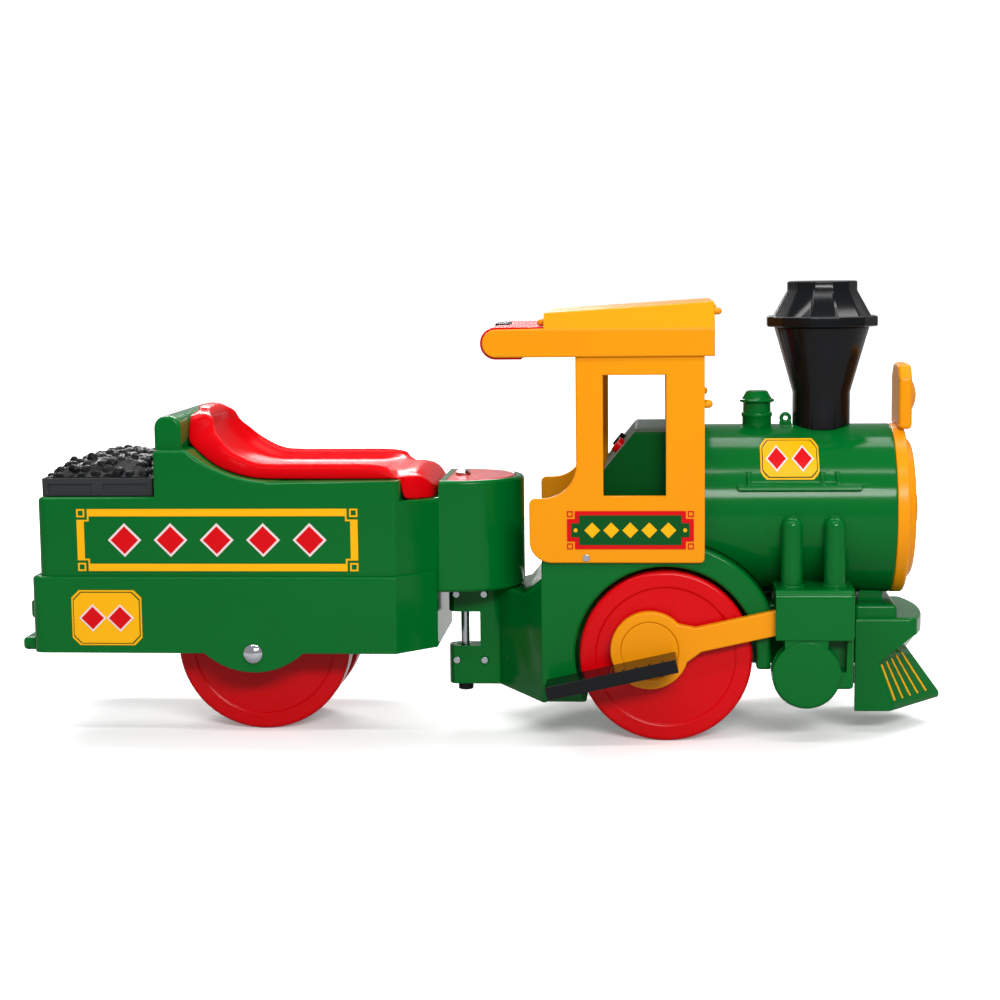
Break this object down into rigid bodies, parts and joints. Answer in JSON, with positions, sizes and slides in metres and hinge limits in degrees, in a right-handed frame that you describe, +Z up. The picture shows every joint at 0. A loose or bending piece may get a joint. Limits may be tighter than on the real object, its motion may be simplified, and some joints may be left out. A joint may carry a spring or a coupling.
{
  "type": "ride on train",
  "caption": "Child's ride-on steam train: a driven locomotive with cab, boiler and connecting rods, hinged to a wheeled tender with a dished seat.",
  "frame": {"origin": "on the floor, under the middle of the train's length and width", "axes": "+X forward towards the plough, +Y to the rider's left, +Z up"},
  "size_m": [1.065, 0.35, 0.516],
  "materials": {
    "green_plastic": "glossy moulded",
    "yellow_plastic": "glossy moulded",
    "red_plastic": "glossy moulded",
    "black_plastic": "satin moulded",
    "dark_plastic": "plain moulded",
    "gear_plastic": "natural nylon",
    "plated_steel": "zinc plated",
    "chrome_caps": "polished",
    "brass": "cut teeth"
  },
  "bodies": {
    "locomotive": {"chassis_right": "green_plastic", "chassis_left": "green_plastic", "chassis_screws": "plated_steel", "boiler": "green_plastic", "smokebox_front": "yellow_plastic", "headlamp": "yellow_plastic", "stack_base": "black_plastic", "stack_cap": "black_plastic", "steam_dome": "green_plastic", "cab_side_right": "yellow_plastic", "cab_side_left": "yellow_plastic", "cab_screws": "plated_steel", "cab_front": "yellow_plastic", "cab_roof": "yellow_plastic", "handle": "red_plastic", "throttle_switch": "dark_plastic", "dashboard": "green_plastic", "sound_module": "dark_plastic", "cylinder_cover_right": "green_plastic", "cylinder_cover_left": "green_plastic", "pilot": "green_plastic", "front_axle": "plated_steel", "front_axle_caps": "plated_steel", "gearbox_frame": "dark_plastic", "motor": "plated_steel", "idler_shaft": "plated_steel"},
    "tender": {"tender_body": "green_plastic", "seat": "red_plastic", "nose_cover": "red_plastic", "battery": "dark_plastic", "hinge_pin": "plated_steel", "pin_cap_top": "chrome_caps", "pin_cap_bottom": "black_plastic", "rear_axle": "plated_steel", "rear_axle_caps": "chrome_caps", "rear_axle_spacers": "dark_plastic"},
    "coal_cover": {"coal_tray": "black_plastic", "coal_pile": "black_plastic"},
    "front_wheel_right": {"front_wheel_right": "red_plastic"},
    "front_wheel_left": {"front_wheel_left": "red_plastic", "drive_gear": "gear_plastic"},
    "rod_right": {"connecting_rod_right": "yellow_plastic", "rod_cap_right": "yellow_plastic", "footrest_right": "black_plastic"},
    "rod_left": {"connecting_rod_left": "yellow_plastic", "rod_cap_left": "yellow_plastic", "footrest_left": "black_plastic"},
    "idler": {"idler_gear": "gear_plastic"},
    "motor_rotor": {"motor_pinion": "brass"},
    "rear_wheel_right": {"rear_wheel_right": "red_plastic"},
    "rear_wheel_left": {"rear_wheel_left": "red_plastic"},
    "throttle": {"throttle_button": "black_plastic"},
    "horn_button": {"horn_button": "red_plastic"},
    "whistle_button": {"whistle_button": "black_plastic"}
  },
  "joints": [
    {"name": "articulation", "type": "hinge", "parent": "locomotive", "child": "tender", "pos_m": [-0.0275, 0, 0.163], "axis": [0, 0, 1], "range_deg": [-40, 40]},
    {"name": "coal_cover_lift", "type": "slide", "parent": "tender", "child": "coal_cover", "axis": [0, 0, 1], "range_m": [0, 0.15]},
    {"name": "front_wheel_right_spin", "type": "hinge", "parent": "locomotive", "child": "front_wheel_right", "pos_m": [0.21, -0.092, 0.0975], "axis": [0, 1, 0], "continuous": true},
    {"name": "front_wheel_left_spin", "type": "hinge", "parent": "locomotive", "child": "front_wheel_left", "pos_m": [0.21, 0.092, 0.0975], "axis": [0, 1, 0], "continuous": true},
    {"name": "rod_right_turn", "type": "hinge", "parent": "front_wheel_right", "child": "rod_right", "pos_m": [0.192, -0.121, 0.107], "axis": [0, 1, 0], "continuous": true},
    {"name": "rod_left_turn", "type": "hinge", "parent": "front_wheel_left", "child": "rod_left", "pos_m": [0.192, 0.121, 0.107], "axis": [0, 1, 0], "continuous": true},
    {"name": "idler_spin", "type": "hinge", "parent": "locomotive", "child": "idler", "pos_m": [0.24278, 0.041, 0.13657], "axis": [0, 1, 0], "continuous": true},
    {"name": "motor_spin", "type": "hinge", "parent": "locomotive", "child": "motor_rotor", "pos_m": [0.22478, 0.034, 0.16775], "axis": [0, 1, 0], "continuous": true},
    {"name": "rear_wheel_right_spin", "type": "hinge", "parent": "tender", "child": "rear_wheel_right", "pos_m": [-0.2585, -0.046, 0.1015], "axis": [0, 1, 0], "continuous": true},
    {"name": "rear_wheel_left_spin", "type": "hinge", "parent": "tender", "child": "rear_wheel_left", "pos_m": [-0.2585, 0.046, 0.1015], "axis": [0, 1, 0], "continuous": true},
    {"name": "throttle_press", "type": "slide", "parent": "locomotive", "child": "throttle", "axis": [0, 0, -1], "range_m": [0, 0.002], "stiffness_N_per_m": 400},
    {"name": "horn_press", "type": "slide", "parent": "locomotive", "child": "horn_button", "axis": [0.7756, 0, -0.6313], "range_m": [0, 0.003], "stiffness_N_per_m": 300},
    {"name": "whistle_press", "type": "slide", "parent": "locomotive", "child": "whistle_button", "axis": [0.7756, 0, -0.6313], "range_m": [0, 0.003], "stiffness_N_per_m": 300}
  ],
  "couplings": [
    {"joint": "rod_right_turn", "follows": "front_wheel_right_spin", "ratio": -1},
    {"joint": "rod_left_turn", "follows": "front_wheel_left_spin", "ratio": -1},
    {"joint": "idler_spin", "follows": "front_wheel_left_spin", "ratio": -3.8571},
    {"joint": "motor_spin", "follows": "front_wheel_left_spin", "ratio": 19.286}
  ]
}
